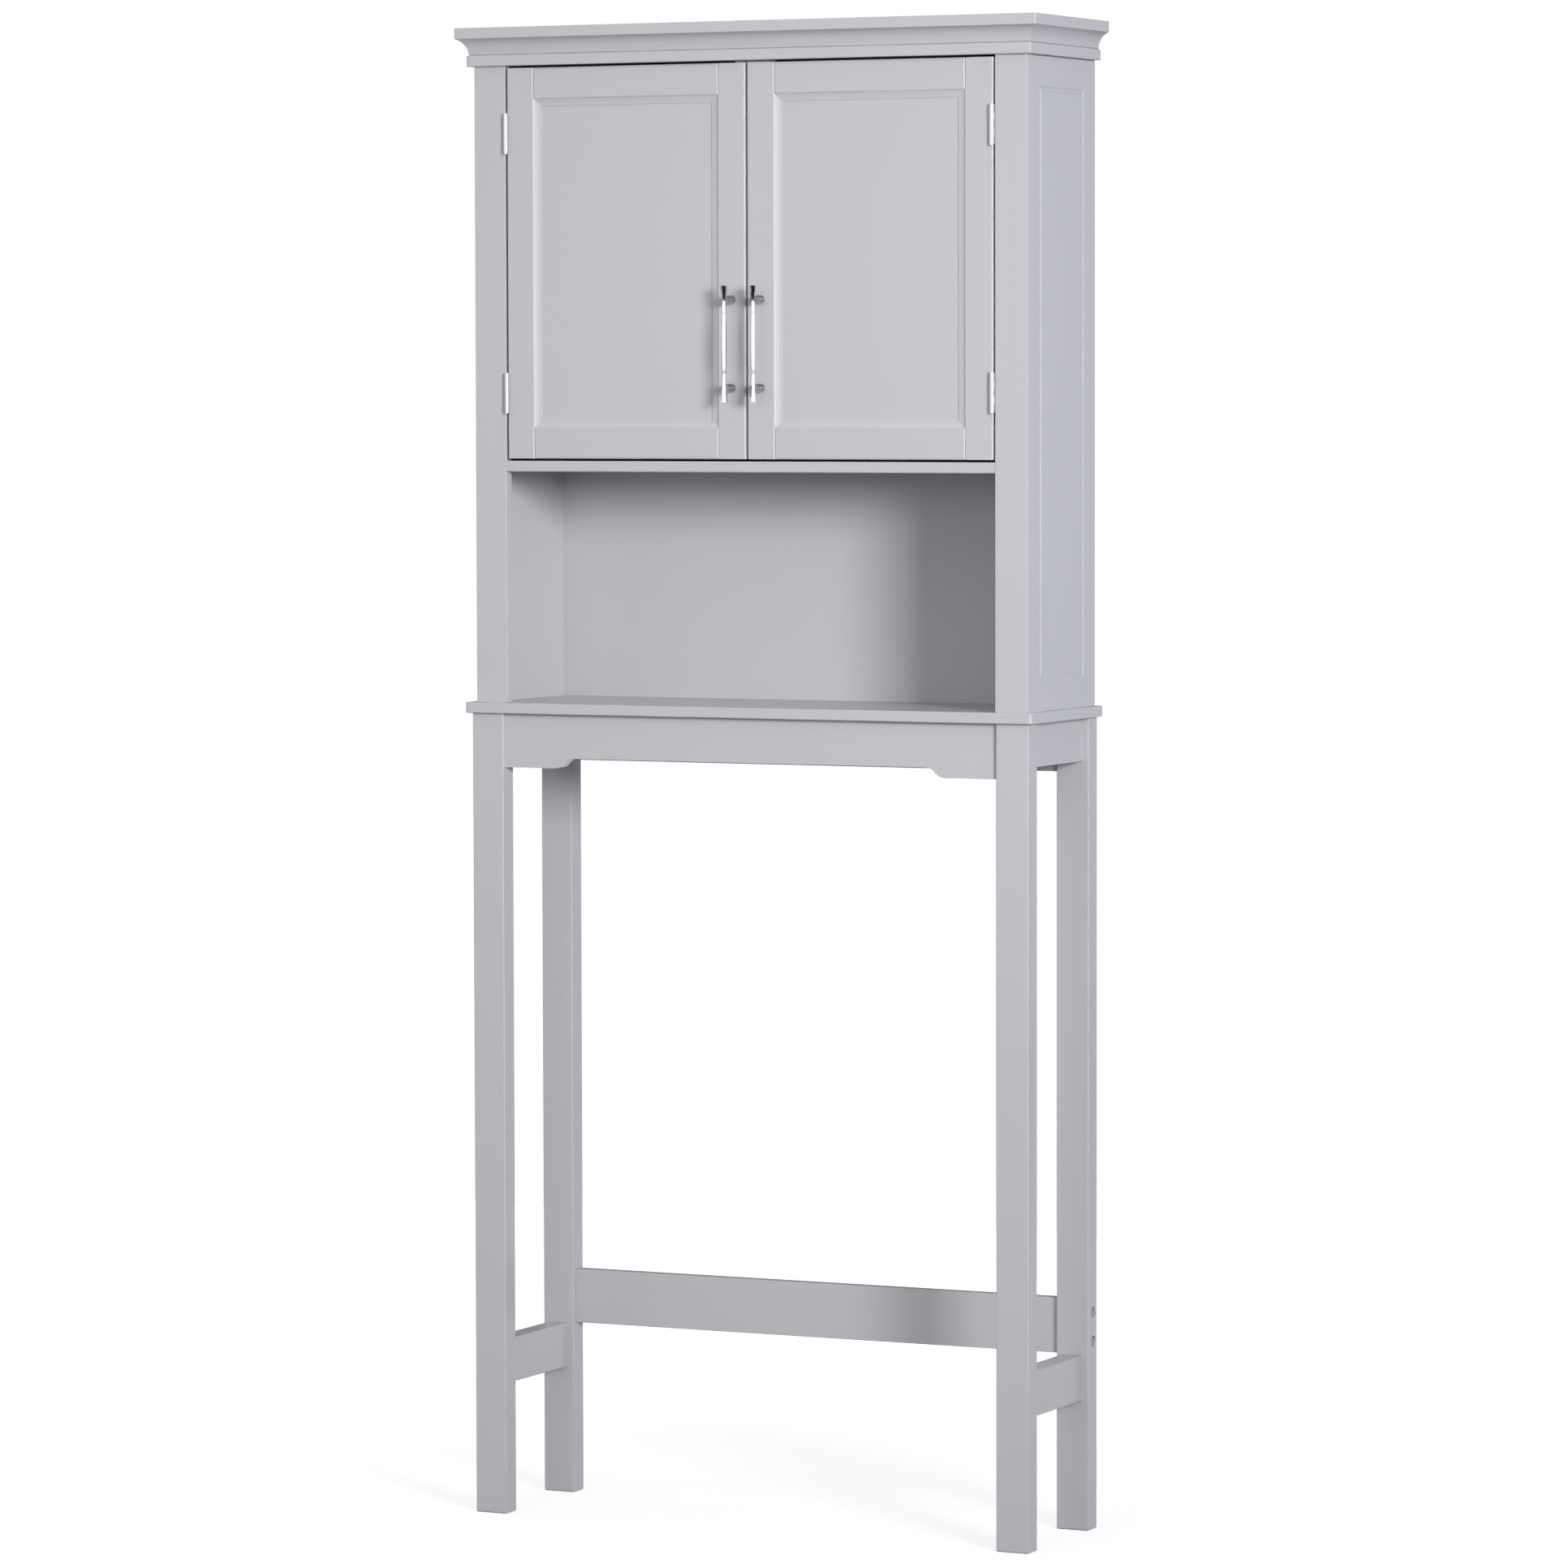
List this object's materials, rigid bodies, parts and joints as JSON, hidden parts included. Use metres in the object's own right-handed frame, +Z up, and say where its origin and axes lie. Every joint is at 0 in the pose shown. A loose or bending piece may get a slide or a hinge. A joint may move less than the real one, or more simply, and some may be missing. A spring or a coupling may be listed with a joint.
{
  "type": "over-the-toilet storage rack",
  "caption": "Over-the-toilet storage rack: a leg frame carries a counter shelf, an open niche and a cabinet with hinged panelled doors, bar pulls and a coved crown.",
  "frame": {"origin": "on the floor, at the middle of the overall width and depth, pulls included", "axes": "+X to the right seen from the front, +Y from the doors to the wall, +Z up"},
  "size_m": [0.699, 0.2084, 1.65],
  "materials": {
    "grey_paint": "satin pale grey paint",
    "bare_wood": "bare beech",
    "chrome": "polished chrome",
    "nickel": "bright nickel",
    "zinc_steel": "zinc-plated",
    "white_plastic": "moulded"
  },
  "bodies": {
    "cabinet": {"adjustable_shelf": "grey_paint", "back_apron": "grey_paint", "back_panel": "grey_paint", "back_stretcher": "grey_paint", "cabinet_floor": "grey_paint", "cabinet_top": "grey_paint", "carcass_dowels": "bare_wood", "catch_screws": "zinc_steel", "counter_shelf": "grey_paint", "crown_cap": "grey_paint", "crown_front": "grey_paint", "crown_left": "grey_paint", "crown_right": "grey_paint", "frame_dowels": "bare_wood", "front_apron": "grey_paint", "front_post_left": "grey_paint", "front_post_right": "grey_paint", "left_hinge_pins": "nickel", "left_hinge_post_leaves": "nickel", "left_hinge_post_screws": "nickel", "leg_back_left": "grey_paint", "leg_back_right": "grey_paint", "leg_front_left": "grey_paint", "leg_front_right": "grey_paint", "magnetic_catch": "white_plastic", "right_hinge_pins": "nickel", "right_hinge_post_leaves": "nickel", "right_hinge_post_screws": "nickel", "shelf_pins": "zinc_steel", "side_apron_left": "grey_paint", "side_apron_right": "grey_paint", "side_panel_left": "grey_paint", "side_panel_right": "grey_paint", "side_stretcher_left": "grey_paint", "side_stretcher_right": "grey_paint", "stretcher_barrel_nuts": "zinc_steel", "stretcher_bolts": "zinc_steel"},
    "left_door": {"left_door_bottom_rail": "grey_paint", "left_door_hinge_stile": "grey_paint", "left_door_lock_stile": "grey_paint", "left_door_panel": "grey_paint", "left_door_top_rail": "grey_paint", "left_hinge_door_leaves": "nickel", "left_hinge_door_screws": "nickel", "left_pull_bar": "chrome", "left_pull_posts": "chrome", "left_pull_screws": "zinc_steel", "left_strike_plate": "zinc_steel"},
    "right_door": {"right_door_bottom_rail": "grey_paint", "right_door_hinge_stile": "grey_paint", "right_door_lock_stile": "grey_paint", "right_door_panel": "grey_paint", "right_door_top_rail": "grey_paint", "right_hinge_door_leaves": "nickel", "right_hinge_door_screws": "nickel", "right_pull_bar": "chrome", "right_pull_posts": "chrome", "right_pull_screws": "zinc_steel", "right_strike_plate": "zinc_steel"}
  },
  "joints": [
    {"name": "left_door_hinge", "type": "hinge", "parent": "cabinet", "child": "left_door", "pos_m": [-0.2925, -0.08245, 1.39075], "axis": [0, 0, -1], "range_deg": [0, 170]},
    {"name": "right_door_hinge", "type": "hinge", "parent": "cabinet", "child": "right_door", "pos_m": [0.2925, -0.08245, 1.39075], "axis": [0, 0, 1], "range_deg": [0, 170]}
  ]
}
